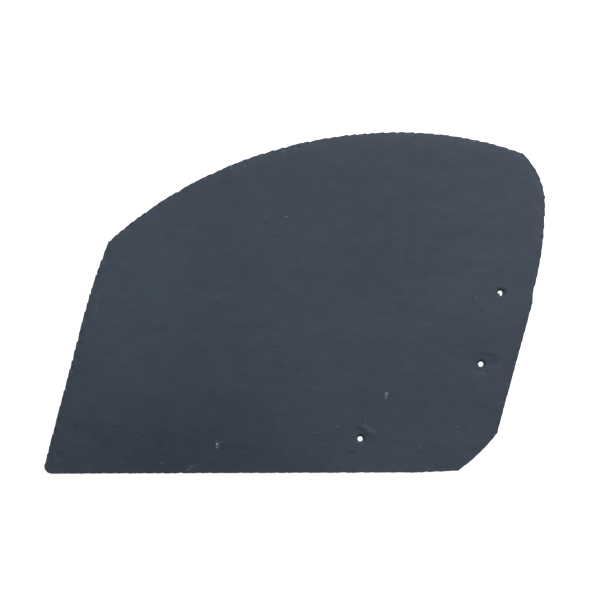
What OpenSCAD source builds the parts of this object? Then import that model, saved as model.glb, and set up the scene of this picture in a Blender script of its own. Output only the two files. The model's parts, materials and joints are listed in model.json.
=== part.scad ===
// Hand-dressed roofing slate in the old German scale pattern.
// It lies on its bed face, weather face up, with the origin under the middle of its outline.
// The breast runs along X, and the foot and the head stand at the cut angle to it.

/* [Slate] */
// Distance between the foot and the head, measured square to the head
tile_h = 278.3; // [200:0.1:400]
// Thickness of the split slab
thickness = 5; // [4:0.1:8]
// Angle between the breast and the head
head_angle = 74.6; // [62:0.1:90]
// Angle between the breast and the foot
foot_angle = 75.1; // [62:0.1:90]

/* [Foot] */
// Length of the foot from the heel to the foot corner
foot_l = 157; // [120:0.5:200]
// Length of the upper stretch of the foot that leans in
foot_lean_l = 50; // [20:1:80]
// How far the foot has turned in at the foot corner, in degrees
foot_lean = 7.8; // [0:0.1:12]
// Rounding radius of the heel
heel_r = 5; // [3:0.5:10]

/* [Back] */
// Height of the tip above the breast, along the head
tip_l = 206; // [180:1:250]
// Setback of the tip from the head line
tip_in = 31.3; // [25:0.1:45]
// Angle between the back and the line from foot corner to tip, at the foot corner
back_start = 30; // [20:0.5:36]
// Angle between the back and the line from foot corner to tip, at the tip
back_end = 33; // [20:0.5:38]
// Fullness of the back on its foot half, where 1 is a round arc
foot_fullness = 1.1; // [0.8:0.01:1.2]
// Fullness of the back on its tip half, where 1 is a round arc
tip_fullness = 0.8; // [0.7:0.01:1.2]

/* [Head] */
// Radius of the shoulder under the tip
shoulder_r = 47; // [40:1:80]
// Height of the shoulder's lower end, along the head
shoulder_l = 182; // [150:1:184]
// Setback of the shoulder's lower end from the head line
shoulder_in = 10; // [6:0.1:14]
// Radius of the flank between the shoulder and the step
flank_r = 220; // [200:1:600]
// Height of the step in the head's edge, along the head
step_l = 113.5; // [90:0.5:130]
// Length of the step's ramp
step_run = 6.5; // [3:0.5:12]
// Depth of the step
step_in = 1.4; // [0:0.1:4]

/* [Cut corner] */
// Length cut off the head at the breast corner
cut_head = 26; // [15:0.5:40]
// Length cut off the breast at the head corner
cut_breast = 18.5; // [12:0.5:40]
// Radius of the cut
cut_r = 130; // [60:1:400]
// Length of the breast that eases up towards the cut
ease_l = 24; // [10:1:40]
// How far the breast has eased up at the cut
ease_up = 1.1; // [0:0.1:3]

/* [Dressed edge] */
// Spacing of the hammer blows
blow_pitch = 6.2; // [4:0.1:12]
// Depth of a blow along the foot, the back and the flank
blow_depth = 0.45; // [0:0.01:0.8]
// Depth of a blow along the head, the breast and the cut
trim_depth = 0.22; // [0:0.01:0.5]
// Width of the spalled bevel that undercuts the edge towards the bed face
bevel_w = 2.2; // [1.5:0.1:3.5]
// Height of the upright part of the edge below the weather face
arris_h = 1.5; // [0.8:0.1:2.5]
// How far the upright part leans in at the weather face
arris_in = 0.25; // [0.1:0.05:0.8]

/* [Nail holes] */
// Diameter of a nail hole
nail_hole_d = 3.5; // [2.5:0.1:5]
// Diameter of the spalled crater round a nail hole, on the weather face
crater_d = 5; // [5:0.1:9]
// Depth of the crater
crater_depth = 1.6; // [0.6:0.1:2.4]
// Distance of a nail hole from the edge beside it
nail_inset = 22; // [14:0.5:40]
// Height of the low head nail hole, along the head
nail_low = 66.8; // [50:0.1:80]
// Height of the high head nail hole, along the head
nail_high = 114.5; // [95:0.1:140]
// Distance of the breast nail hole from the head line, along the breast
nail_breast = 82; // [60:0.5:110]

/* [Hidden] */

SLATE_COLOUR = "#434b56";

// Overrun of a cut past the face it leaves
overrun = 1;
// How far the skin of the dressed edge runs on past each face
skin_over = 0.2;
// Spacing of points along a smooth edge before it is dressed
fine_step = 1;
// Spacing of the light taps that round the heel
heel_pitch = 2.4;
// Share of a blow's length over which its bite deepens
bite_share = 0.16;
// Lowest and highest depth of one blow against the stated depth
blow_range = [0.35, 1.45];
// How much a blow's ends wander along the edge, against the pitch
blow_wander = 0.5;
// Lowest and highest bevel width against the stated width
bevel_range = [0.72, 1.28];

function along(angle) = [cos(angle), sin(angle)];
function left_of(v) = [-v[1], v[0]];
function unit(v) = v / norm(v);
function heading(v) = atan2(v[1], v[0]);

// Points of the edge pieces; each piece runs clockwise and includes both its ends
function steps(length) = max(2, ceil(length / fine_step));

function line_edge(p, q) =
    let (n = steps(norm(q - p)))
    [for (i = [0:n]) p + (q - p) * i / n];

// Round edge from p to q that bulges to the left of its run
function round_edge(p, q, r) =
    let (
        half = norm(q - p) / 2,
        centre = (p + q) / 2 - left_of(unit(q - p)) * sqrt(max(r * r - half * half, 0)),
        start = heading(p - centre),
        sweep = 2 * asin(min(1, half / r)),
        n = steps(r * sweep * PI / 180)
    )
    [for (i = [0:n]) centre + norm(p - centre) * along(start - sweep * i / n)];

// Smooth curve from p to q that leaves and arrives at the given angles to their chord
function sprung_edge(p, q, leave, arrive, full_p, full_q) =
    let (
        chord = q - p,
        turn = leave + arrive,
        reach = 4 / 3 * tan(turn / 4) * norm(chord) / (2 * sin(turn / 2)),
        p1 = p + reach * full_p * along(heading(chord) + leave),
        q1 = q - reach * full_q * along(heading(chord) - arrive),
        n = steps(norm(chord))
    )
    [for (i = [0:n])
        let (t = i / n, s = 1 - t)
        s * s * s * p + 3 * s * s * t * p1 + 3 * s * t * t * q1 + t * t * t * q];

// Edge that runs straight on from p and then turns in evenly over its last stretch
function leaning_edge(p, angle, length, lean_l, lean) =
    let (
        bend = p + (length - lean_l) * along(angle),
        n = steps(lean_l),
        pull = lean * PI / 180 / (2 * lean_l)
    )
    concat(
        line_edge(p, bend),
        [for (i = [1:n])
            let (s = lean_l * i / n)
            bend + s * along(angle) - pull * s * s * left_of(along(angle))]
    );

// Main points, with the sharp heel at [0, 0] and the breast along X
head_dir = along(head_angle);
head_in = left_of(head_dir);
foot_dir = along(foot_angle);
breast_l = tile_h / sin(head_angle);
head_foot = [breast_l, 0];

function on_head(height, setback) = head_foot + height * head_dir + setback * head_in;

heel_run = heel_r / tan(foot_angle / 2);
heel_up = heel_run * foot_dir;
heel_along = [heel_run, 0];
foot_edge = leaning_edge(heel_up, foot_angle, foot_l - heel_run, foot_lean_l, foot_lean);
foot_corner = foot_edge[len(foot_edge) - 1];
tip = on_head(tip_l, tip_in);
shoulder_end = on_head(shoulder_l, shoulder_in);
step_top = on_head(step_l + step_run, step_in);
step_foot = on_head(step_l, 0);
cut_top = on_head(cut_head, 0);
cut_end = head_foot + [-cut_breast, ease_up];
ease_start = [cut_end[0] - ease_l, 0];
back_edge = sprung_edge(foot_corner, tip, back_start, back_end, foot_fullness, tip_fullness);

// Running length at each point of an edge
function running(edge) =
    [for (i = 0, s = 0; i < len(edge); i = i + 1,
            s = s + (i < len(edge) ? norm(edge[i] - edge[i - 1]) : 0)) s];

function point_at(edge, runs, s) = [
    lookup(s, [for (i = [0:len(edge) - 1]) [runs[i], edge[i][0]]]),
    lookup(s, [for (i = [0:len(edge) - 1]) [runs[i], edge[i][1]]])
];

// Dressed stations of an edge, each as [point, inward normal, bevel width].
// A blow starts with a bite and runs out to nothing where the next one starts.
function dressed(edge, pitch_wanted, depth, seed) =
    let (
        runs = running(edge),
        total = runs[len(runs) - 1],
        blows = max(1, round(total / pitch_wanted)),
        pitch = total / blows,
        wander = rands(-blow_wander / 2, blow_wander / 2, blows + 1, seed),
        bites = rands(blow_range[0], blow_range[1], blows, seed + 1),
        widths = rands(bevel_range[0], 1, blows, seed + 2),
        bulges = rands(1, bevel_range[1], blows, seed + 3)
    )
    [for (k = [0:blows - 1]) for (part = [0, bite_share])
        let (
            from = pitch * (k + (k == 0 ? 0 : wander[k])),
            to = pitch * (k + 1 + (k == blows - 1 ? 0 : wander[k + 1])),
            s = from + part * (to - from),
            before = point_at(edge, runs, max(0, s - fine_step)),
            after = point_at(edge, runs, min(total, s + fine_step)),
            normal = -left_of(unit(after - before)),
            bite = part == 0 ? 0 : depth * bites[k],
            width = bevel_w * (part == 0 ? widths[k] : bulges[k])
        )
        [point_at(edge, runs, s) + bite * normal, normal, width]];

stations = concat(
    dressed(foot_edge, blow_pitch, blow_depth, 11),
    dressed(back_edge, blow_pitch, blow_depth, 21),
    dressed(round_edge(tip, shoulder_end, shoulder_r), blow_pitch, blow_depth, 31),
    dressed(round_edge(shoulder_end, step_top, flank_r), blow_pitch, blow_depth, 41),
    dressed(line_edge(step_top, step_foot), blow_pitch, 0, 51),
    dressed(line_edge(step_foot, cut_top), blow_pitch, trim_depth, 61),
    dressed(round_edge(cut_top, cut_end, cut_r), blow_pitch, trim_depth, 71),
    dressed(line_edge(cut_end, ease_start), blow_pitch, trim_depth, 81),
    dressed(line_edge(ease_start, heel_along), blow_pitch, trim_depth, 91),
    dressed(round_edge(heel_along, heel_up, heel_r), heel_pitch, 0, 101)
);

outline = [for (s = stations) s[0]];
xs = [for (p = outline) p[0]];
ys = [for (p = outline) p[1]];
middle = [(min(xs) + max(xs)) / 2, (min(ys) + max(ys)) / 2];

// Nail holes, each set in from the edge beside it
nail_holes = [
    on_head(nail_low, nail_inset),
    on_head(nail_high, nail_inset),
    head_foot + [-nail_breast, nail_inset]
];

// Dressed edge all round: the upright arris over the spalled bevel, run on past both faces
module edge_skin() {
    n = len(stations);
    arris_slope = arris_in / arris_h;
    low_ring = [for (s = stations)
        let (
            bevel_slope = s[2] / (thickness - arris_h),
            p = s[0] + (s[2] + bevel_slope * skin_over) * s[1]
        )
        [p[0], p[1], -skin_over]];
    arris_ring = [for (s = stations) [s[0][0], s[0][1], thickness - arris_h]];
    high_ring = [for (s = stations)
        let (p = s[0] + arris_slope * (arris_h + skin_over) * s[1])
        [p[0], p[1], thickness + skin_over]];
    polyhedron(
        points = concat(low_ring, arris_ring, high_ring),
        faces = concat(
            [[for (i = [n - 1:-1:0]) i]],
            [for (ring = [0, 1]) for (i = [0:n - 1])
                let (j = (i + 1) % n, low = ring * n, high = low + n)
                [low + i, low + j, high + i]],
            [for (ring = [0, 1]) for (i = [0:n - 1])
                let (j = (i + 1) % n, low = ring * n, high = low + n)
                [low + j, high + j, high + i]],
            [[for (i = [0:n - 1]) 2 * n + i]]
        )
    );
}

// Slab between the flat bed face and the flat weather face
module dressed_slab() {
    intersection() {
        edge_skin();
        translate([min(xs) - overrun, min(ys) - overrun, 0])
            cube([
                max(xs) - min(xs) + 2 * overrun,
                max(ys) - min(ys) + 2 * overrun,
                thickness
            ]);
    }
}

// Punched nail hole: a straight bore that breaks out in a crater on the weather face
module nail_hole() {
    flare = (crater_d - nail_hole_d) / crater_depth;
    translate([0, 0, -overrun])
        cylinder(h = thickness + 2 * overrun, d = nail_hole_d, $fn = 48);
    translate([0, 0, thickness - crater_depth])
        cylinder(
            h = crater_depth + overrun,
            d1 = nail_hole_d,
            d2 = crater_d + flare * overrun,
            $fn = 48
        );
}

module slate() {
    color(SLATE_COLOUR)
        translate([-middle[0], -middle[1], 0])
            difference() {
                dressed_slab();
                for (p = nail_holes)
                    translate([p[0], p[1], 0])
                        nail_hole();
            }
}

slate();
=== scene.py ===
"""Hand-dressed roofing slate: one riven slab with hewn edges and three punched nail holes."""

import json
import math
from contextlib import contextmanager

import bpy
import numpy as np
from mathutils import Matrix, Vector


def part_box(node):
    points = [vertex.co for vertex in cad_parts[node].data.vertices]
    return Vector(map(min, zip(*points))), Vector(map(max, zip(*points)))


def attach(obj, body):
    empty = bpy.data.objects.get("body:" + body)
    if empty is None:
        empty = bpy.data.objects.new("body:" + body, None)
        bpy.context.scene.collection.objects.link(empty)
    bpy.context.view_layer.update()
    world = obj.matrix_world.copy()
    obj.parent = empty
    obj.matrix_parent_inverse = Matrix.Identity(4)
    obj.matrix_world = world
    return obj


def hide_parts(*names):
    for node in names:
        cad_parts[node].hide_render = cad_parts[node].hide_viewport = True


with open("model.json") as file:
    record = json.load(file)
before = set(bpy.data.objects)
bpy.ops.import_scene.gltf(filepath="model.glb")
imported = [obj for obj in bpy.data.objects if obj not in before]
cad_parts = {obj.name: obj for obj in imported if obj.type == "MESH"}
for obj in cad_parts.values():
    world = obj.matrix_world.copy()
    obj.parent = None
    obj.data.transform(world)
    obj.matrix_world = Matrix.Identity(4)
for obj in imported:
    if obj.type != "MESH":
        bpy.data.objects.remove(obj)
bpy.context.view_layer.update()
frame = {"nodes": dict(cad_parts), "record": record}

bl_info = {
    "name": "Scale-pattern roofing slate",
    "version": (1, 0, 0),
    "blender": (4, 5, 0),
    "location": "3D View > Sidebar > Slate",
    "description": "Dresses a riven roofing slate and sets it on a pale stage",
    "category": "Add Mesh",
}

# Lengths in the script are metres, and lengths inside the relief and the finish are millimetres.
MM = 0.001
NODE = "slate"
SLAB = "slate_slab"
BED_Z, FACE_Z = (round(corner.z, 6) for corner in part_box(NODE))
THICKNESS_MM = (FACE_Z - BED_Z) / MM
# Keeps the faces of the plate and of the blank from lying in one plane, where a cut can fail
CLEAR = 0.002 * MM
# How far off a level a point may lie and still count as on it
LEVEL_GAP = 0.01 * MM

NAIL_HOLES = {
    mount["name"]: Vector(mount["pos_m"]) / MM
    for mount in frame["record"]["mounts"]
    if mount["kind"] == "bore"
}
BORE_R_MM = max(m["dims"]["r_mm"] for m in frame["record"]["mounts"] if m["kind"] == "bore")
# What lies nearer than this to a hole's middle, in mm, belongs to the hole and not to the rim
HOLE_REACH_MM = 2.0 * BORE_R_MM

# Where the foot, the back and the breast fade in, in mm: along x for the foot, along y for the others
FOOT_BAND = (-118.0, -104.0)
BACK_BAND = (25.0, 55.0)
BREAST_BAND = (-104.0, -96.0)

# How far the relief may rise past the weather face and past the bed, in mm
FACE_LIMIT = 0.1
BED_LIMIT = -0.06

# Share of each pattern in the tone of the stone
PATCH_TONE = 0.14
# The rim share is a painted highlight: lighter stone along the back and breast rims
RIM_HIGHLIGHT = 0.05
LUMP_TONE = 0.20
MOTTLE_TONE = 0.29
SPECKLE_TONE = 0.12

# Heights of the fine patterns that are too small for the mesh, in mm
DASH_RISE = 0.36
GRAIN_RISE = 0.025
GRIT_RISE = 0.02

# Marks on the weather face: x, y, length and width in mm, turn in degrees, then strength.
# Flakes that broke out round the nail holes are placed from the hole's own middle, and a ridge
# left standing between two flakes has a strength below zero.
HOLE_FLAKES = {
    "head_nail_hole_low": [
        (0.4, 0.0, 12.4, 13.4, 0.0, 0.26),
        (5.8, 2.2, 8.4, 8.0, -20.0, 0.34),
        (0.6, 0.6, 5.4, 5.2, 40.0, 0.80),
    ],
    "head_nail_hole_high": [
        (0.6, 0.45, 5.3, 5.0, 20.0, 0.75),
        (-1.3, 2.1, 4.2, 2.2, -20.0, 0.36),
    ],
    "breast_nail_hole": [
        (0.6, 0.7, 5.4, 5.2, 45.0, 0.80),
        (0.6, 3.2, 9.4, 6.4, -45.0, 0.32),
        (2.6, 10.1, 2.6, 1.6, 35.0, 0.35),
        (5.0, 4.2, 12.0, 2.8, -33.0, -0.23),
    ],
}

# Splinters left standing in a nail hole: the hole, then x and y from its middle, width and reach,
# all in mm
SPLINTERS = [
    ("head_nail_hole_high", -1.7, -1.5, 3.0, 1.2),
]

# Shallow broken flakes near the edges
EDGE_FLAKES = [
    (-122.2, 29.6, 8.0, 3.2, 66.0, 0.30),
    (-127.2, -1.6, 6.5, 2.6, 70.0, 0.25),
    (-135.4, -8.6, 4.5, 2.0, 65.0, 0.25),
    (-138.6, -19.6, 5.0, 2.2, 70.0, 0.25),
    (-140.6, -36.6, 5.0, 2.0, 75.0, 0.18),
    (-143.4, -81.4, 6.0, 4.0, 60.0, 0.35),
    (-153.2, -98.9, 5.4, 4.6, 20.0, 0.40),
    (124.6, -45.2, 2.4, 2.0, 30.0, 0.25),
    (2.6, 100.4, 3.6, 1.8, 15.0, 0.34),
    (-31.4, 90.2, 4.5, 2.0, 25.0, 0.30),
    (125.4, -94.0, 5.0, 2.6, 50.0, 0.30),
    (95.0, -107.8, 13.0, 1.6, 2.0, 0.12),
]

# Pale mineral flecks and bruises
FLECKS = [
    (-5.3, 55.8, 1.4, 1.1, 0.0, 0.70),
    (-6.9, 97.9, 1.6, 1.0, 10.0, 0.20),
    (59.3, -59.3, 2.4, 2.4, 0.0, 0.78),
    (59.8, -58.7, 1.1, 0.9, 0.0, 0.30),
    (59.5, -59.8, 0.9, 0.8, 0.0, -0.35),
    (59.0, -61.4, 2.4, 1.3, 85.0, 0.55),
    (-50.6, -91.7, 1.9, 1.5, 125.0, 1.45),
    (-50.8, -93.8, 1.6, 1.1, 0.0, 1.00),
    (-51.0, -89.9, 1.1, 0.8, 0.0, 0.30),
    (-49.1, -90.4, 1.5, 0.8, 0.0, 0.28),
    (-47.4, -89.9, 4.4, 1.6, 35.0, 0.08),
    (-69.6, -108.2, 2.2, 1.4, 30.0, 0.24),
    (-67.5, -105.9, 2.4, 1.3, 0.0, 0.20),
    (-64.9, -105.5, 1.6, 1.1, 60.0, 0.17),
    (-67.3, -107.0, 5.5, 2.2, 30.0, 0.08),
    (-86.3, -103.7, 2.2, 1.2, 0.0, 0.25),
    (27.6, -80.4, 1.2, 1.6, 0.0, 0.30),
    (80.6, -94.4, 2.0, 1.2, 40.0, 0.28),
    (105.2, -80.8, 1.4, 1.1, 0.0, 0.38),
    (117.4, 2.9, 1.4, 1.1, 0.0, 0.44),
    (-112.7, -102.7, 4.0, 1.0, 20.0, 0.10),
    (-132.9, -106.5, 1.6, 1.0, 0.0, 0.20),
    (128.8, -86.0, 1.8, 1.0, 60.0, 0.20),
    (45.6, -77.2, 1.6, 1.1, 0.0, 0.58),
    (48.8, -82.1, 9.5, 1.9, -34.0, 0.12),
    (30.8, -104.9, 2.6, 1.0, 30.0, 0.20),
    (19.1, -91.3, 1.6, 1.2, 0.0, 0.14),
    (-120.7, -36.6, 1.6, 1.4, 0.0, 0.20),
    (-102.3, -85.9, 2.0, 1.2, 0.0, 0.18),
    (-33.5, -96.7, 2.2, 1.0, 0.0, 0.12),
    (-4.9, -97.2, 2.6, 1.0, 0.0, 0.12),
    (121.4, -45.7, 2.0, 1.1, 0.0, 0.15),
    (-155.8, -97.2, 1.7, 1.3, 30.0, 0.20),
]

# Small dark spots on the weather face
DARK_SPOTS = [
    (36.6, -97.1, 5.0, 1.7, 0.0, 0.27),
    (130.0, -78.6, 1.9, 1.8, 0.0, 0.30),
    (121.3, -5.3, 3.0, 1.8, 0.0, 0.22),
    (115.7, 2.9, 1.3, 1.2, 0.0, 0.45),
    (124.7, -45.1, 2.0, 2.4, 0.0, 0.17),
    (45.6, -83.4, 4.6, 1.6, -45.0, 0.10),
    (-30.1, 48.7, 2.0, 1.5, 0.0, 0.22),
    (-47.4, -86.6, 2.8, 1.9, 30.0, 0.13),
    (153.7, 17.6, 2.6, 1.5, -70.0, 0.20),
    (77.4, 107.0, 2.6, 1.5, 0.0, 0.22),
    (-82.7, 64.1, 2.6, 1.4, 30.0, 0.20),
]

# Broad lighter and darker places: painted light and shade that reshape how the light falls over the face,
# darkest toward the lower left
PAINTED_LIGHT_FALL = [
    (-112.0, 12.0, 60.0, 100.0, -15.0, 0.15),
    (-68.0, -98.0, 100.0, 55.0, 0.0, -0.21),
    (127.0, 12.0, 60.0, 45.0, 0.0, 0.08),
    (95.0, -95.0, 110.0, 45.0, 0.0, 0.045),
    (50.0, 78.0, 110.0, 45.0, 0.0, -0.07),
    (60.0, 30.0, 70.0, 50.0, 0.0, -0.055),
    (10.0, -20.0, 90.0, 60.0, 0.0, 0.035),
    (-40.0, -50.0, 60.0, 40.0, 0.0, -0.035),
    (-120.0, -95.0, 50.0, 40.0, 0.0, -0.05),
]

# Fine pale scratches
SCRATCHES = [
    (158.5, 59.3, 7.0, 0.7, -62.0, 0.16),
    (132.6, -42.6, 6.0, 0.7, -60.0, 0.14),
    (59.9, 90.8, 5.0, 0.9, 0.0, 0.10),
    (116.4, 84.8, 4.0, 0.8, 0.0, 0.10),
    (121.6, 86.1, 3.5, 0.7, 0.0, 0.10),
    (107.4, 102.6, 4.0, 0.9, 0.0, 0.16),
    (148.7, 34.0, 2.6, 1.2, 30.0, 0.10),
    (-127.9, 4.5, 1.6, 5.0, 0.0, 0.10),
]


class Wire:
    """An output socket that Python's operators work on, each adding the node that does the sum."""

    def __init__(self, graph, socket):
        self.graph = graph
        self.socket = socket

    def __add__(self, other):
        return self.graph.maths("ADD", self, other)

    def __radd__(self, other):
        return self.graph.maths("ADD", other, self)

    def __sub__(self, other):
        return self.graph.maths("SUBTRACT", self, other)

    def __rsub__(self, other):
        return self.graph.maths("SUBTRACT", other, self)

    def __mul__(self, other):
        return self.graph.maths("MULTIPLY", self, other)

    def __rmul__(self, other):
        return self.graph.maths("MULTIPLY", other, self)

    def __truediv__(self, other):
        return self.graph.maths("DIVIDE", self, other)

    def __rtruediv__(self, other):
        return self.graph.maths("DIVIDE", other, self)

    def __gt__(self, other):
        return self.graph.maths("GREATER_THAN", self, other)


class Graph:
    """Builds one node tree, for a relief or for a finish."""

    def __init__(self, tree):
        self.tree = tree
        tree.nodes.clear()

    def node(self, kind, settings=None, inputs=None, output=0):
        """Adds a node, makes its settings first, then feeds its sockets, and returns one output."""
        made = self.tree.nodes.new(kind)
        for name, value in (settings or {}).items():
            setattr(made, name, value)
        for key, value in (inputs or {}).items():
            self.feed(self.find(made.inputs, key), value)
        if not made.outputs:
            return None
        return Wire(self, self.find(made.outputs, output))

    def find(self, sockets, key):
        """A socket by its number, or the one in use by its name."""
        if isinstance(key, int):
            return sockets[key]
        return next(s for s in sockets if s.name == key and s.enabled)

    def feed(self, socket, value):
        """Links a wire to an input socket, or sets a value on it."""
        if isinstance(value, Wire):
            self.tree.links.new(value.socket, socket)
        elif socket.type == "VECTOR" and isinstance(value, (int, float)):
            socket.default_value = (value, value, value)
        elif socket.type == "RGBA":
            socket.default_value = (*value[:3], 1.0)
        else:
            socket.default_value = value

    def maths(self, operation, *terms):
        """A Math node on numbers, or a Vector Math node where a term is a vector."""
        vectors = [
            not isinstance(t, (int, float)) and (not isinstance(t, Wire) or t.socket.type == "VECTOR")
            for t in terms
        ]
        kind = "ShaderNodeVectorMath" if any(vectors) else "ShaderNodeMath"
        return self.node(kind, {"operation": operation}, dict(enumerate(terms)))

    def smooth(self, value, low, high):
        """Smooth step from 0 to 1 as value goes from low to high."""
        inputs = {"Value": value, "From Min": low, "From Max": high}
        settings = {"interpolation_type": "SMOOTHSTEP"}
        return self.node("ShaderNodeMapRange", settings, inputs, "Result")

    def noise(self, place, size, detail=2.0, roughness=0.5, shift=0.0):
        """Noise from about -0.5 to 0.5, with one (x, y, z) size of its lumps."""
        spread = place * tuple(1.0 / s for s in size) + (shift, shift * 0.7, shift * 1.3)
        inputs = {"Vector": spread, "Scale": 1.0, "Detail": detail, "Roughness": roughness}
        return self.node("ShaderNodeTexNoise", {"noise_dimensions": "3D"}, inputs) - 0.5

    def cells(self, place, size, output="Distance", shift=0.0):
        """Distance to, or random colour of, the nearest of a scatter of points."""
        spread = place * tuple(1.0 / s for s in size) + (shift, shift, shift)
        inputs = {"Vector": spread, "Scale": 1.0}
        return self.node("ShaderNodeTexVoronoi", {}, inputs, output)

    def spot(self, place, mark, soft):
        """1 inside an oval mark and 0 outside it, with a soft rim."""
        x, y, length, width, turn = mark[:5]
        inputs = {"Vector": place - (x, y, 0.0), "Angle": -math.radians(turn)}
        turned = self.node("ShaderNodeVectorRotate", {"rotation_type": "Z_AXIS"}, inputs)
        inside = turned * (2.0 / length, 2.0 / width, 0.0)
        return 1.0 - self.smooth(self.length(inside), 1.0 - soft, 1.0 + soft)

    def spots(self, place, marks, soft):
        """Sum of many marks, each at its own strength."""
        total = 0.0
        for mark in marks:
            total = self.spot(place, mark, soft) * mark[5] + total
        return total

    def wobble(self, level, scale):
        """A small shift along one diagonal that makes the outlines of the marks ragged."""
        inputs = {"Vector": level, "Scale": scale}
        return flat(self.node("ShaderNodeTexNoise", {}, inputs, "Color") - 0.5)

    def stairs(self, rise, riser):
        """Turns a smooth rise into treads, each ending in a step that starts at the share riser."""
        whole = self.maths("FLOOR", rise)
        return whole + self.smooth(rise - whole, riser, 1.0)

    def length(self, vector):
        return self.node("ShaderNodeVectorMath", {"operation": "LENGTH"}, {0: vector}, "Value")

    def scale(self, colour, factor):
        """A colour made lighter or darker."""
        inputs = {0: colour, "Scale": factor}
        return self.node("ShaderNodeVectorMath", {"operation": "SCALE"}, inputs)

    def split(self, vector):
        """The three parts of a vector, each a wire."""
        node = self.node("ShaderNodeSeparateXYZ", {}, {0: vector}).socket.node
        return [Wire(self, s) for s in node.outputs]

    def mix_values(self, factor, one, other):
        """Blend of two numbers."""
        inputs = {"Factor": factor, "A": one, "B": other}
        return self.node("ShaderNodeMix", {"data_type": "FLOAT"}, inputs, "Result")

    def mix(self, factor, one, other):
        """Blend of two colours."""
        inputs = {"Factor": factor, "A": one, "B": other}
        return self.node("ShaderNodeMix", {"data_type": "RGBA"}, inputs, "Result")


def hole_marks(name):
    """The broken flakes round one nail hole, placed on the slab."""
    hole = NAIL_HOLES[name]
    return [(hole.x + x, hole.y + y, *rest) for x, y, *rest in HOLE_FLAKES[name]]


def flat(place):
    """The same place with no height, so that a pattern doesn't shift with the relief."""
    return place * (1.0, 1.0, 0.0)


def flakes(graph, level):
    """Depth of the broken flakes on the weather face, in mm."""
    ragged = level + graph.wobble(level, 0.35) * 2.8
    flake_soft = 0.22
    ridge_soft = 0.5
    depth = 0.0
    for group in [hole_marks(name) for name in HOLE_FLAKES] + [EDGE_FLAKES]:
        deepest = 0.0
        for mark in group:
            if mark[5] > 0.0:
                flake = graph.spot(ragged, mark, flake_soft) * mark[5]
                deepest = graph.maths("MAXIMUM", flake, deepest)
            else:
                depth = graph.spot(ragged, mark, ridge_soft) * mark[5] + depth
        depth = depth + deepest
    return depth


def riven(graph, level, shape):
    """Height of the riven weather face above its mean, in mm."""
    swell = graph.noise(level, (75.0, 60.0, 1.0), 2.0, shift=3.1) * shape.swell_depth * 4.0
    hollows = graph.noise(level, (24.0, 13.0, 1.0), 3.0, shift=7.7) * shape.hollow_depth * 3.0
    sheets = graph.noise(level, (26.0, 9.0, 1.0), 3.0, 0.55, shift=13.9) * shape.sheet_count
    return swell + hollows + graph.stairs(sheets, 0.72) * shape.sheet_step


class SlateShape(bpy.types.PropertyGroup):
    """Sizes of the slab's mesh and of the relief on it."""

    face_pitch: bpy.props.FloatProperty(
        name="Face pitch", description="Mesh pitch of the weather face", default=1.15 * MM, unit="LENGTH"
    )
    bed_pitch: bpy.props.FloatProperty(
        name="Bed pitch", description="Mesh pitch of the bed face", default=2.2 * MM, unit="LENGTH"
    )
    layer: bpy.props.FloatProperty(
        name="Layer", description="Thickness of one sheet in the hewn edge", default=0.42 * MM, unit="LENGTH"
    )
    edge_pitch: bpy.props.FloatProperty(
        name="Edge pitch", description="Longest mesh edge in the hewn edge", default=1.2 * MM, unit="LENGTH"
    )
    rim_band: bpy.props.FloatProperty(
        name="Rim band", description="Width of the finer mesh along the rim", default=2.5 * MM, unit="LENGTH"
    )
    hole_band: bpy.props.FloatProperty(
        name="Hole band", description="Radius of the finer mesh round a nail hole",
        default=13.0 * MM, unit="LENGTH",
    )
    swell_depth: bpy.props.FloatProperty(
        name="Swell", description="Height of the broad swell, in mm", default=0.10, min=0.0, max=0.2
    )
    hollow_depth: bpy.props.FloatProperty(
        name="Hollows", description="Depth of the small hollows, in mm", default=0.06, min=0.0, max=0.2
    )
    sheet_step: bpy.props.FloatProperty(
        name="Sheet step", description="Step from one riven sheet to the next, in mm", default=0.035, min=0.0
    )
    sheet_count: bpy.props.FloatProperty(
        name="Sheets", description="How many sheets the riven face crosses", default=7.0, min=1.0
    )
    chip_depth: bpy.props.FloatProperty(
        name="Chips", description="Depth of the chips along the rim, in mm", default=0.50, min=0.0, max=1.2
    )
    arris_wear: bpy.props.FloatProperty(
        name="Arris wear", description="Drop of the worn rim along the back, in mm",
        default=0.34, min=0.0, max=0.8,
    )
    bed_depth: bpy.props.FloatProperty(
        name="Bed relief", description="Depth of the riven relief of the bed face, in mm",
        default=0.50, min=0.0,
    )
    hewn_depth: bpy.props.FloatProperty(
        name="Hewn relief", description="Depth of the steps in the hewn edge, in mm", default=0.70, min=0.0
    )


class SlateFinish(bpy.types.PropertyGroup):
    """Colours of the stone."""

    stone: bpy.props.FloatVectorProperty(
        name="Stone", description="Blue-grey of the riven face", subtype="COLOR", size=3,
        default=(0.0572, 0.0756, 0.1062), min=0.0, max=1.0,
    )
    violet: bpy.props.FloatVectorProperty(
        name="Violet", description="Cooler patches", subtype="COLOR", size=3,
        default=(0.0596, 0.0747, 0.1080), min=0.0, max=1.0,
    )
    green: bpy.props.FloatVectorProperty(
        name="Green", description="Greener patches", subtype="COLOR", size=3,
        default=(0.0548, 0.0775, 0.1030), min=0.0, max=1.0,
    )
    hewn: bpy.props.FloatVectorProperty(
        name="Hewn edge", description="Fresh stone in the hewn edge", subtype="COLOR", size=3,
        default=(0.092, 0.102, 0.115), min=0.0, max=1.0,
    )
    fleck: bpy.props.FloatVectorProperty(
        name="Flecks", description="Pale mineral flecks and scratches", subtype="COLOR", size=3,
        default=(0.40, 0.44, 0.47), min=0.0, max=1.0,
    )
    roughness: bpy.props.FloatProperty(
        name="Roughness", description="Mean roughness of the riven face", default=0.62, min=0.0, max=1.0
    )


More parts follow.
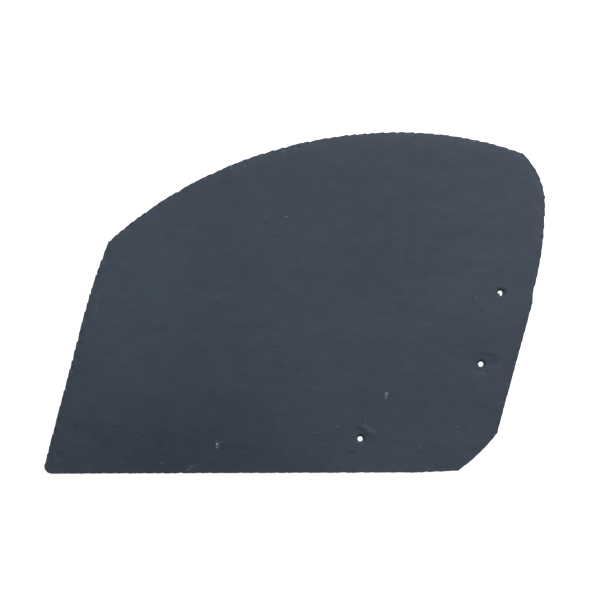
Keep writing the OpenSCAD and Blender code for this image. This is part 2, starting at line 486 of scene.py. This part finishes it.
class SlateStage(bpy.types.PropertyGroup):
    """Camera, light and floor."""

    view_width: bpy.props.FloatProperty(
        name="View width", description="Width of the view at the weather face", default=0.3878, unit="LENGTH"
    )
    view_middle: bpy.props.FloatVectorProperty(
        name="View middle", description="Point that the camera looks straight down on", size=2,
        default=(0.00273, 0.00199), unit="LENGTH",
    )
    camera_rise: bpy.props.FloatProperty(
        name="Camera rise", description="Height of the camera above the weather face",
        default=1.5, unit="LENGTH",
    )
    camera_roll: bpy.props.FloatProperty(
        name="Camera roll", description="Turn of the camera about its own axis",
        default=math.radians(-0.197), unit="ROTATION",
    )
    key_power: bpy.props.FloatProperty(
        name="Key power", description="Power of the key light in watts", default=12.9, min=0.0
    )
    world_light: bpy.props.FloatProperty(
        name="World light", description="Strength of the even light all round", default=0.16, min=0.0
    )


def deselect():
    bpy.ops.object.select_all(action="DESELECT")


def only(piece):
    deselect()
    piece.select_set(True)
    bpy.context.view_layer.objects.active = piece


@contextmanager
def editing(piece, kind="FACE"):
    """Edit mode on one piece."""
    only(piece)
    bpy.ops.object.mode_set(mode="EDIT")
    bpy.ops.mesh.select_mode(type=kind)
    yield
    bpy.ops.object.mode_set(mode="OBJECT")


def pick(piece, faces=None, edges=None, verts=None):
    """Selects vertices, edges or faces by a mask, and nothing else."""
    mesh = piece.data
    marked = np.zeros(len(mesh.vertices), bool) if verts is None else verts
    if edges is not None:
        marked[edge_ends(mesh)[edges].ravel()] = True
    no_edges = np.zeros(len(mesh.edges), bool)
    no_faces = np.zeros(len(mesh.polygons), bool)
    mesh.vertices.foreach_set("select", marked)
    mesh.edges.foreach_set("select", no_edges if edges is None else edges)
    mesh.polygons.foreach_set("select", no_faces if faces is None else faces)
    mesh.update()


def read(items, name, width, kind=np.float32):
    """One property of all the vertices, edges or faces, in a row for each."""
    found = np.empty(len(items) * width, kind)
    items.foreach_get(name, found)
    return found.reshape(-1, width)


def edge_ends(mesh):
    return read(mesh.edges, "vertices", 2, np.int32)


def points(mesh):
    return read(mesh.vertices, "co", 3)


def face_middles(mesh):
    return read(mesh.polygons, "center", 3)


def face_normals(mesh):
    return read(mesh.polygons, "normal", 3)


def copy_blank():
    """A merged copy of the CAD slab that runs on past both faces."""
    only(frame["nodes"][NODE])
    bpy.ops.object.duplicate()
    blank = bpy.context.active_object
    with editing(blank):
        bpy.ops.mesh.select_all(action="SELECT")
        bpy.ops.mesh.remove_doubles(threshold=0.001 * MM)
        bpy.ops.mesh.normals_make_consistent(inside=False)
    run_on = 2.0 * MM
    square_on = 0.999
    for side, height in ((1.0, FACE_Z), (-1.0, BED_Z)):
        mesh = blank.data
        level = np.abs(face_middles(mesh)[:, 2] - height) < LEVEL_GAP
        pick(blank, faces=level & (face_normals(mesh)[:, 2] * side > square_on))
        move = {"value": (0.0, 0.0, side * run_on)}
        with editing(blank):
            bpy.ops.mesh.extrude_region_move(TRANSFORM_OT_translate=move)
    return blank


def slice_layers(blank, layer):
    """Cuts the hewn edge into its sheets."""
    count = round((FACE_Z - BED_Z) / layer)
    for cut in range(1, count):
        with editing(blank):
            bpy.ops.mesh.select_all(action="SELECT")
            height = BED_Z + (FACE_Z - BED_Z) * cut / count
            bpy.ops.mesh.bisect(plane_co=(0.0, 0.0, height), plane_no=(0.0, 0.0, 1.0))


def split_long_edges(piece, longest, low, high):
    """Halves the edges longer than that between two heights, up to six times over."""
    for _ in range(6):
        mesh = piece.data
        co = points(mesh)
        ends = edge_ends(mesh)
        length = np.linalg.norm(co[ends[:, 0]] - co[ends[:, 1]], axis=1)
        z = co[:, 2][ends]
        long = (length > longest) & (z.min(1) > low) & (z.max(1) < high)
        if not long.any():
            break
        pick(piece, edges=long)
        with editing(piece, "EDGE"):
            bpy.ops.mesh.subdivide(number_cuts=1)


def make_plate(shape):
    """A plate wider than the slab, with a fine grid on top and a coarser one below."""
    low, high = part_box(NODE)
    margin = 2.0 * MM
    size = high - low + Vector((2 * margin, 2 * margin, 0.0))
    middle = (low + high) / 2
    grids = []
    for height, pitch in ((FACE_Z - CLEAR, shape.face_pitch), (BED_Z + CLEAR, shape.bed_pitch)):
        deselect()
        bpy.ops.mesh.primitive_grid_add(
            x_subdivisions=round(size.x / pitch), y_subdivisions=round(size.y / pitch), size=1.0
        )
        grid = bpy.context.active_object
        grid.scale = (size.x, size.y, 1.0)
        grid.location = (middle.x, middle.y, height)
        bpy.ops.object.transform_apply(location=True, rotation=True, scale=True)
        grids.append(grid)
    for grid in grids:
        grid.select_set(True)
    bpy.context.view_layer.objects.active = grids[0]
    bpy.ops.object.join()
    plate = bpy.context.active_object
    with editing(plate, "EDGE"):
        bpy.ops.mesh.select_all(action="DESELECT")
        bpy.ops.mesh.select_non_manifold()
        bpy.ops.mesh.bridge_edge_loops()
        bpy.ops.mesh.select_all(action="SELECT")
        bpy.ops.mesh.normals_make_consistent(inside=False)
    return plate


def apply_modifier(piece, modifier):
    only(piece)
    bpy.ops.object.modifier_apply(modifier=modifier.name)


def cut_slab(shape):
    """The slab on its working mesh, cut from the plate by the blank."""
    blank = copy_blank()
    slice_layers(blank, shape.layer)
    split_long_edges(blank, shape.edge_pitch, BED_Z - LEVEL_GAP, FACE_Z + LEVEL_GAP)
    slab = make_plate(shape)
    slab.name = SLAB
    slab.data.name = SLAB
    cut = slab.modifiers.new("cut", "BOOLEAN")
    cut.operation = "INTERSECT"
    cut.solver = "EXACT"
    cut.object = blank
    apply_modifier(slab, cut)
    bpy.data.objects.remove(blank)
    clear_slivers(slab)
    return slab


def clear_slivers(slab):
    """Merges the needle-thin faces that the cut leaves along the rims and round the holes."""
    for height, rim_gap, hole_gap in ((FACE_Z, 0.3 * MM, 0.12 * MM), (BED_Z, 0.8 * MM, 0.3 * MM)):
        for inside, threshold in ((True, hole_gap), (False, rim_gap)):
            co = points(slab.data)
            level = np.abs(co[:, 2] - height) < LEVEL_GAP
            pick(slab, verts=level & (near_hole(co) == inside))
            with editing(slab, "VERT"):
                bpy.ops.mesh.remove_doubles(threshold=threshold)
    with editing(slab, "VERT"):
        bpy.ops.mesh.select_all(action="SELECT")
        bpy.ops.mesh.remove_doubles(threshold=0.03 * MM)
        bpy.ops.mesh.dissolve_degenerate(threshold=0.01 * MM)


def hole_gaps(co):
    """Distance of each point from the axis of each nail hole, hole by hole."""
    for hole in NAIL_HOLES.values():
        yield np.hypot(co[:, 0] - hole.x * MM, co[:, 1] - hole.y * MM)


def near_hole(co):
    """Which points lie in or close round a nail hole."""
    near = np.zeros(len(co), bool)
    for away in hole_gaps(co):
        near |= away < HOLE_REACH_MM * MM
    return near


def refine_face(slab, shape):
    """Finer mesh on the weather face along the rim and round the nail holes."""
    mesh = slab.data
    middles = face_middles(mesh)
    level = np.abs(middles[:, 2] - FACE_Z) < LEVEL_GAP
    weather = level & (face_normals(mesh)[:, 2] > 0.9)
    near = np.zeros(len(middles), bool)
    for away in hole_gaps(middles):
        near |= away < shape.hole_band
    rim = rim_points(slab)
    batch = 4096
    for start in range(0, len(middles), batch):
        part = middles[start:start + batch, None, :2]
        gap = np.min(np.linalg.norm(part - rim[None], axis=2), axis=1)
        near[start:start + batch] |= gap < shape.rim_band
    pick(slab, faces=weather & near)
    with editing(slab):
        bpy.ops.mesh.subdivide(number_cuts=1)
    trim = slab.modifiers.new("trim", "TRIANGULATE")
    trim.min_vertices = 5
    apply_modifier(slab, trim)


def rim_points(slab):
    """Points of the outer rim of the weather face."""
    co = points(slab.data)
    ends = edge_ends(slab.data)
    level = np.abs(co[:, 2] - FACE_Z) < LEVEL_GAP
    falls = co[:, 2][ends].min(1) < FACE_Z - 0.1 * MM
    below = np.zeros(len(co), bool)
    below[ends[falls].ravel()] = True
    rim = level & below & ~near_hole(co)
    return co[rim, :2]


def distance_from_holes(graph, level):
    """Distance to the middle of the nearest nail hole, in mm."""
    away = 1000.0
    for hole in NAIL_HOLES.values():
        gap = graph.length(level - (hole.x, hole.y, 0.0))
        away = graph.maths("MINIMUM", gap, away)
    return away


def distance_from_rim(graph, slab, level, height, away):
    """Distance in from the outer rim of the weather face, in mm."""
    angle = graph.node("GeometryNodeInputMeshEdgeAngle", output="Unsigned Angle")
    corner = angle > math.radians(30.0)
    on_top = height > THICKNESS_MM - 0.1
    inputs = {"Geometry": slab, "Selection": corner * on_top * (away > HOLE_REACH_MM)}
    rim = graph.node("GeometryNodeSeparateGeometry", {"domain": "EDGE"}, inputs, "Selection")
    inputs = {0: rim, "Sample Position": level * MM + (0.0, 0.0, FACE_Z)}
    gap = graph.node("GeometryNodeProximity", {"target_element": "EDGES"}, inputs, "Distance")
    return gap * (1.0 / MM)


def weather_relief(graph, level, inset, away, shape):
    """Height of the weather face, in mm: riven, flaked, chipped along the rim and worn."""
    across, along, _ = graph.split(level)
    foot_share = 1.0 - graph.smooth(across, *FOOT_BAND)
    back_share = graph.smooth(along, *BACK_BAND)
    breast_share = 1.0 - graph.smooth(along, *BREAST_BAND)
    chips = graph.smooth(graph.noise(level, (5.0, 5.0, 1.0), 2.0, shift=21.0), 0.0, 0.2)
    chip_reach = graph.noise(level, (9.0, 9.0, 1.0), 2.0, shift=4.4) * 6.0 + 2.8 + foot_share * 1.5
    chip_fall = 1.0 - graph.smooth(inset / chip_reach, 0.0, 1.0)
    chip_share = 1.0 + foot_share * 0.2 - breast_share * 0.9
    chipped = chips * chip_fall * chip_share * shape.chip_depth
    worn_width = 8.0
    near_rim = graph.maths("MAXIMUM", 1.0 - inset * (1.0 / worn_width), 0.0)
    worn = near_rim * near_rim * back_share * shape.arris_wear
    dished = (1.0 - graph.smooth(away, 2.0, 24.0)) * 0.2
    return riven(graph, level, shape) - flakes(graph, level) - chipped - worn - dished


def bed_relief(graph, level, shape):
    """Height of the riven bed face, in mm."""
    sheets = graph.noise(level, (46.0, 20.0, 1.0), 4.0, 0.55, shift=31.0) * 9.0
    swell = graph.noise(level, (60.0, 40.0, 1.0), 2.0, shift=27.0) * 1.4 + 0.4
    return (swell + graph.stairs(sheets, 0.78) * 0.26) * shape.bed_depth


def edge_bite(graph, level, height, shape):
    """How far the hewn edge is torn in, in mm, sheet by sheet and most below the middle."""
    sheet_thickness = 0.55
    wavy = height + graph.noise(level, (30.0, 30.0, 1.0), 1.0) * 1.6
    sheet = graph.maths("FLOOR", wavy * (1.0 / sheet_thickness))
    stacked = level + graph.node("ShaderNodeCombineXYZ", {}, {2: sheet * 7.3})
    torn = graph.smooth(graph.noise(stacked, (5.0, 5.0, 1.0), 3.0, 0.6, shift=9.0), -0.12, 0.20)
    low_share = 1.0 - graph.smooth(height, 0.38 * THICKNESS_MM, 0.62 * THICKNESS_MM)
    low_share = low_share * graph.smooth(height, -0.4, 0.35 * THICKNESS_MM)
    crumbs = graph.noise(stacked, (1.6, 1.6, 1.0), 2.0, shift=2.6) * 0.35
    return torn * low_share * shape.hewn_depth + (torn - 0.5) * 0.26 + crumbs


def bore_wear(graph, place, level, height):
    """How far the wall of a nail hole is worn out, in mm, less the splinters left in it."""
    wear = graph.noise(place, (2.2, 2.2, 1.8), 2.0, shift=6.1) * 0.9
    mid_bore = graph.smooth(height, 0.6, 1.4) * (1.0 - graph.smooth(height, 2.4, 3.2))
    for name, x, y, width, reach in SPLINTERS:
        hole = NAIL_HOLES[name]
        splinter = graph.spot(level, (hole.x + x, hole.y + y, width, width, 0.0), 0.4)
        wear = wear - splinter * mid_bore * reach
    return wear


def relief_tree(shape):
    """Geometry nodes that carve the relief into the slab's mesh."""
    tree = bpy.data.node_groups.new("slate_relief", "GeometryNodeTree")
    tree.interface.new_socket("Geometry", in_out="INPUT", socket_type="NodeSocketGeometry")
    tree.interface.new_socket("Geometry", in_out="OUTPUT", socket_type="NodeSocketGeometry")
    graph = Graph(tree)
    slab = graph.node("NodeGroupInput", output="Geometry")
    place = graph.node("GeometryNodeInputPosition") * (1.0 / MM)
    level = flat(place)
    height = graph.split(place)[2]
    normal = graph.node("GeometryNodeInputNormal")
    away = distance_from_holes(graph, level)
    inset = distance_from_rim(graph, slab, level, height, away)

    top_share = graph.smooth(height, 0.3 * THICKNESS_MM, THICKNESS_MM)
    bed_share = 1.0 - graph.smooth(height, 0.0, 0.5 * THICKNESS_MM)
    top = graph.maths("MINIMUM", weather_relief(graph, level, inset, away, shape), FACE_LIMIT)
    bed = graph.maths("MAXIMUM", bed_relief(graph, level, shape), BED_LIMIT)
    lift = graph.node("ShaderNodeCombineXYZ", {}, {2: top * top_share + bed * bed_share})

    outer = graph.smooth(away, HOLE_REACH_MM, 2.6 * BORE_R_MM)
    wear = bore_wear(graph, place, level, height)
    bite = edge_bite(graph, level, height, shape)
    inputs = {"Value": normal * (1.0, 1.0, 0.0), "Iterations": 6}
    outward = graph.node("GeometryNodeBlurAttribute", {"data_type": "FLOAT_VECTOR"}, inputs)
    push = outward * (graph.mix_values(outer, wear, bite) * -1.0)

    inputs = {"Geometry": slab, "Offset": (push + lift) * MM}
    moved = graph.node("GeometryNodeSetPosition", {}, inputs)
    facing = graph.maths("ABSOLUTE", graph.split(normal)[2])
    hewn_share = 1.0 - graph.smooth(facing, 0.25, 0.85)
    for name, value in (("rim_distance", inset), ("hewn_share", hewn_share)):
        inputs = {"Geometry": moved, "Name": name, "Value": value}
        settings = {"data_type": "FLOAT", "domain": "POINT"}
        moved = graph.node("GeometryNodeStoreNamedAttribute", settings, inputs)
    graph.node("NodeGroupOutput", {}, {"Geometry": moved})
    return tree


def relax_folds(slab):
    """Smooths out the few tiny faces that the relief folded over along the rims."""
    depth = 0.4 * MM
    lean = 0.1
    for _ in range(4):
        facing = face_normals(slab.data)[:, 2]
        height = face_middles(slab.data)[:, 2]
        folded = (height > FACE_Z - depth) & (facing < -lean)
        folded |= (height < BED_Z + depth) & (facing > lean)
        if not folded.any():
            break
        pick(slab, faces=folded)
        with editing(slab):
            bpy.ops.mesh.vertices_smooth(factor=0.5, repeat=4)


def dress_slab(slab, shape):
    """Carves the relief and leaves one closed skin with crisp edges."""
    relief = slab.modifiers.new("relief", "NODES")
    relief.node_group = relief_tree(shape)
    apply_modifier(slab, relief)
    with editing(slab, "VERT"):
        bpy.ops.mesh.select_all(action="SELECT")
        bpy.ops.mesh.normals_make_consistent(inside=False)
    relax_folds(slab)
    only(slab)
    bpy.ops.object.shade_smooth_by_angle(angle=math.radians(22.0), keep_sharp_edges=False)


def stone_bumps(graph, place, level, height, wobble, sheets, breaks, hewn_share):
    """Height of the fine patterns, in mm: raised dashes, grain and grit, hewn stone and bed."""
    dash_size = (8.0, 2.9, 1.0)
    warped = level + wobble * 2.6
    near = graph.cells(warped, dash_size, "Distance", 0.37)
    draw, rise, _ = graph.split(graph.cells(warped, dash_size, "Color", 0.37))
    crowded = graph.noise(level, (45.0, 30.0, 1.0), 2.0, shift=43.0) * 0.5
    chosen = (draw + crowded) > 0.88
    dash = (1.0 - graph.smooth(near, 0.0, 0.42)) * chosen * (rise - 0.5)
    grain = graph.noise(place, (2.6, 1.1, 0.6), 3.0, 0.6, shift=8.0)
    grit = graph.noise(place, (0.5, 0.45, 0.4), 2.0, shift=14.0)
    bumps = dash * DASH_RISE + grain * GRAIN_RISE + grit * GRIT_RISE

    bed_share = 1.0 - graph.smooth(height, 0.25 * THICKNESS_MM, 0.4 * THICKNESS_MM)
    rises = graph.noise(level + wobble, (30.0, 11.0, 1.0), 3.0, 0.6, shift=37.0) * 12.0
    ripples = graph.noise(level, (9.0, 2.0, 1.0), 2.0, shift=41.0)
    bed_bumps = graph.stairs(rises, 0.85) * 0.09 + ripples * 0.12
    return bumps + hewn_share * (sheets * 0.16 + breaks * 0.10) + bed_share * bed_bumps


def stone_finish(colours):
    """Blue-grey slate: patches, mottle, flecks, dark spots, fine grain and paler hewn edges, with painted
    light and shade: a broad painted fall of light and painted highlights along the back and breast rims.
    """
    stone = bpy.data.materials.new("blue_grey_slate")
    stone.use_nodes = True
    graph = Graph(stone.node_tree)
    place = graph.node("ShaderNodeTexCoord", output="Object") * (1.0 / MM)
    level = flat(place)
    _, along, height = graph.split(place)
    rim_distance = graph.node("ShaderNodeAttribute", {"attribute_name": "rim_distance"}, output="Fac")
    hewn_share = graph.node("ShaderNodeAttribute", {"attribute_name": "hewn_share"}, output="Fac")

    hue = graph.noise(level, (13.0, 12.0, 1.0), 2.0, shift=17.0)
    colour = graph.mix(graph.smooth(hue, 0.02, 0.2), colours.stone, colours.green)
    colour = graph.mix(graph.smooth(hue, -0.02, -0.2), colour, colours.violet)

    wobble = graph.wobble(level, 0.9)
    ragged = level + wobble * 0.9
    on_top = graph.smooth(height, THICKNESS_MM - 0.9, THICKNESS_MM - 0.4)
    most_pale = 1.6
    pale = graph.spots(ragged, FLECKS + SCRATCHES, 0.35)
    pale = graph.maths("MINIMUM", pale, most_pale) * on_top
    dark = graph.spots(ragged, DARK_SPOTS, 0.35) * on_top
    # Painted light and shade: broad lighter and darker places that reshape the fall of the light over the
    # face
    painted_fall = graph.spots(level, PAINTED_LIGHT_FALL, 1.0)

    # Painted highlights: the stone is made lighter within about 9 mm of the rim along the back, as if lit
    # where the worn arris faces the light, and within a few mm of the breast rim
    back_rim_highlight = (1.0 - graph.smooth(rim_distance, 0.0, 9.0)) * graph.smooth(along, *BACK_BAND)
    breast_share = 1.0 - graph.smooth(along, *BREAST_BAND)
    breast_rim_highlight = (1.0 - graph.smooth(rim_distance, 2.0, 4.0)) * breast_share
    patches = graph.noise(place, (55.0, 38.0, 4.0), 3.0, shift=2.0)
    lumps = graph.noise(place, (17.0, 12.0, 3.0), 2.0, shift=47.0)
    mottle = graph.noise(place, (7.0, 5.0, 1.5), 3.0, 0.6, shift=5.0)
    speckle = graph.noise(place, (0.9, 0.7, 0.7), 2.0, shift=11.0)
    # The tone takes in the painted light fall and the painted rim highlights as well as the stone's own
    # patches and dark spots
    tone = 1.0 - dark + patches * PATCH_TONE + painted_fall + (back_rim_highlight + breast_rim_highlight) * RIM_HIGHLIGHT
    tone = tone + lumps * LUMP_TONE + mottle * MOTTLE_TONE + speckle * SPECKLE_TONE
    colour = graph.scale(colour, tone)

    sheets = graph.noise(place, (12.0, 12.0, 0.16), 3.0, 0.6, shift=23.0)
    breaks = graph.noise(place, (2.2, 2.2, 0.8), 3.0, 0.6, shift=29.0)
    hewn = graph.scale(colours.hewn, 1.0 + sheets * 0.9 + breaks * 0.35)
    colour = graph.mix(hewn_share, colour, hewn)
    colour = graph.mix(pale * 0.5, colour, colours.fleck)

    bumps = stone_bumps(graph, place, level, height, wobble, sheets, breaks, hewn_share)
    inputs = {"Strength": 1.0, "Distance": MM, "Height": bumps}
    normal = graph.node("ShaderNodeBump", {}, inputs, "Normal")
    surface = graph.node(
        "ShaderNodeBsdfPrincipled",
        {},
        {
            "Base Color": colour,
            "Roughness": colours.roughness + patches * 0.15 + speckle * 0.12,
            "IOR": 1.5,
            "Specular IOR Level": 0.3,
            "Normal": normal,
        },
    )
    graph.node("ShaderNodeOutputMaterial", {}, {"Surface": surface})
    return stone


class SLATE_OT_slab(bpy.types.Operator):
    """Cuts the slab from its blank, carves the relief and gives it the stone's finish"""

    bl_idname = "slate.slab"
    bl_label = "Slate slab"

    def execute(self, context):
        shape = context.scene.slate_shape
        slab = cut_slab(shape)
        refine_face(slab, shape)
        dress_slab(slab, shape)
        slab.data.materials.clear()
        slab.data.materials.append(stone_finish(context.scene.slate_finish))
        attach(slab, "root")
        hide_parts(NODE)
        return {"FINISHED"}


def add_light(name, place, size, power):
    """A square soft light that looks at the slab."""
    deselect()
    bpy.ops.object.light_add(type="AREA", location=place)
    light = bpy.context.active_object
    light.name = name
    light.data.size = size
    light.data.energy = power
    light.rotation_euler = (-Vector(place)).to_track_quat("-Z", "Y").to_euler()


def pale_floor():
    """Level floor that stays white under the light."""
    deselect()
    place = (0.0, 0.0, BED_Z)
    bpy.ops.mesh.primitive_grid_add(x_subdivisions=2, y_subdivisions=2, size=12.0, location=place)
    floor = bpy.context.active_object
    floor.name = "floor"
    paper = bpy.data.materials.new("white_floor")
    paper.use_nodes = True
    graph = Graph(paper.node_tree)
    surface = graph.node(
        "ShaderNodeBsdfPrincipled",
        {},
        {
            "Base Color": (0.85, 0.85, 0.85),
            "Roughness": 0.9,
            "Emission Color": (1.0, 1.0, 1.0),
            "Emission Strength": 0.92,
        },
    )
    graph.node("ShaderNodeOutputMaterial", {}, {"Surface": surface})
    floor.data.materials.append(paper)


def add_camera(stage):
    """Camera straight above the weather face."""
    deselect()
    place = (*stage.view_middle, FACE_Z + stage.camera_rise)
    bpy.ops.object.camera_add(location=place, rotation=(0.0, 0.0, stage.camera_roll))
    camera = bpy.context.active_object
    camera.data.sensor_fit = "HORIZONTAL"
    camera.data.lens = camera.data.sensor_width * stage.camera_rise / stage.view_width
    bpy.context.scene.camera = camera


class SLATE_OT_stage(bpy.types.Operator):
    """Sets up the pale floor, the soft light and the camera"""

    bl_idname = "slate.stage"
    bl_label = "Stage"

    def execute(self, context):
        stage = context.scene.slate_stage
        pale_floor()
        add_light("key_light", (0.42, 0.80, 0.90), 0.6, stage.key_power)
        world = bpy.data.worlds.new("studio")
        world.use_nodes = True
        context.scene.world = world
        graph = Graph(world.node_tree)
        even = graph.node(
            "ShaderNodeBackground", {}, {"Color": (1.0, 1.0, 1.0), "Strength": stage.world_light}
        )
        graph.node("ShaderNodeOutputWorld", {}, {"Surface": even})
        context.scene.view_settings.view_transform = "Standard"
        add_camera(stage)
        return {"FINISHED"}


class SLATE_PT_panel(bpy.types.Panel):
    """Sidebar panel of the slate's sizes and steps"""

    bl_idname = "SLATE_PT_panel"
    bl_label = "Roofing slate"
    bl_space_type = "VIEW_3D"
    bl_region_type = "UI"
    bl_category = "Slate"

    def draw(self, context):
        for group, kind in SETTINGS.items():
            box = self.layout.box()
            for name in kind.__annotations__:
                box.prop(getattr(context.scene, group), name)
        for step in OPERATORS:
            self.layout.operator(step.bl_idname)


SETTINGS = {"slate_shape": SlateShape, "slate_finish": SlateFinish, "slate_stage": SlateStage}
OPERATORS = [SLATE_OT_slab, SLATE_OT_stage]


def register():
    for kind in [*SETTINGS.values(), *OPERATORS, SLATE_PT_panel]:
        bpy.utils.register_class(kind)
    for name, kind in SETTINGS.items():
        setattr(bpy.types.Scene, name, bpy.props.PointerProperty(type=kind))


def unregister():
    for name in SETTINGS:
        delattr(bpy.types.Scene, name)
    for kind in [*SETTINGS.values(), *OPERATORS, SLATE_PT_panel]:
        bpy.utils.unregister_class(kind)


def main():
    register()
    bpy.ops.slate.slab()
    bpy.ops.slate.stage()


if __name__ == "__main__":
    main()
